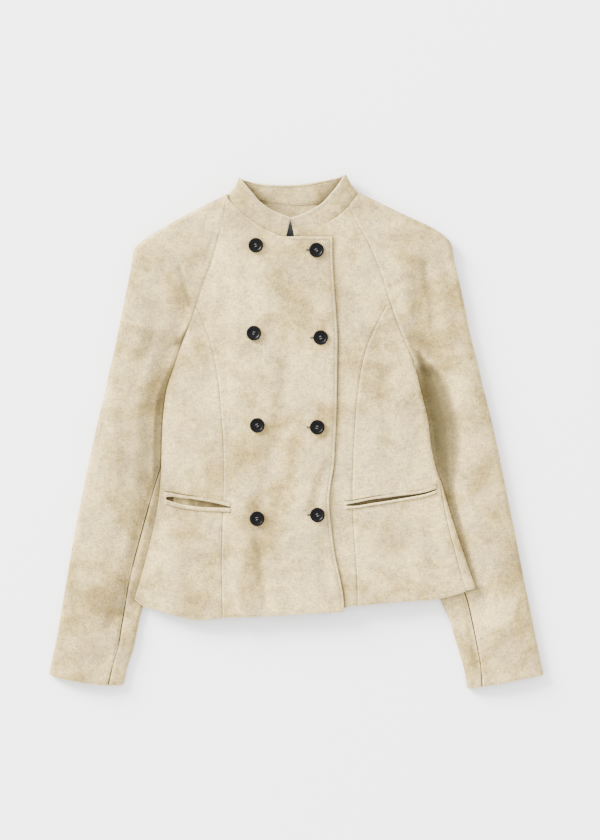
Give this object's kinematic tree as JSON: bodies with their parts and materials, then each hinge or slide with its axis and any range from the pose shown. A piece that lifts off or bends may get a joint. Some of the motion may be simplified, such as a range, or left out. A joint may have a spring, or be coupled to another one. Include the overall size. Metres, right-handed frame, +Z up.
{
  "type": "cropped double-breasted leather jacket laid flat",
  "caption": "Cropped double-breasted jacket in mottled cream leather, laid flat: raglan sleeves, stand collar, princess seams, welt pockets and round dark buttons.",
  "frame": {"origin": "the middle of the jacket's outline, on the surface that it lies on", "axes": "+X to the wearer's left, +Y from the hem towards the collar, +Z up from the surface, through the back to the buttons"},
  "size_m": [0.6692, 0.6958, 0.0335],
  "materials": {
    "leather_cream": "matte, mottled vintage",
    "leather_inside": "matte",
    "lining_dark": "satin lining",
    "button_horn": "semi-gloss"
  },
  "bodies": {
    "root": {"front_right": "leather_cream", "front_left": "leather_cream", "side_front_right": "leather_cream", "side_front_left": "leather_cream", "back_right": "leather_cream", "back_left": "leather_cream", "sleeve_front_right": "leather_cream", "sleeve_front_left": "leather_cream", "sleeve_back_right": "leather_cream", "sleeve_back_left": "leather_cream", "collar": "leather_cream", "back_neck_facing": "leather_inside", "back_lining": "lining_dark", "pocket_welt_upper_right": "leather_cream", "pocket_welt_lower_right": "leather_cream", "pocket_facing_right": "leather_inside", "pocket_welt_upper_left": "leather_cream", "pocket_welt_lower_left": "leather_cream", "pocket_facing_left": "leather_inside", "button_right_1": "button_horn", "button_right_2": "button_horn", "button_right_3": "button_horn", "button_right_4": "button_horn", "button_left_1": "button_horn", "button_left_2": "button_horn", "button_left_3": "button_horn", "button_left_4": "button_horn"}
  },
  "joints": []
}
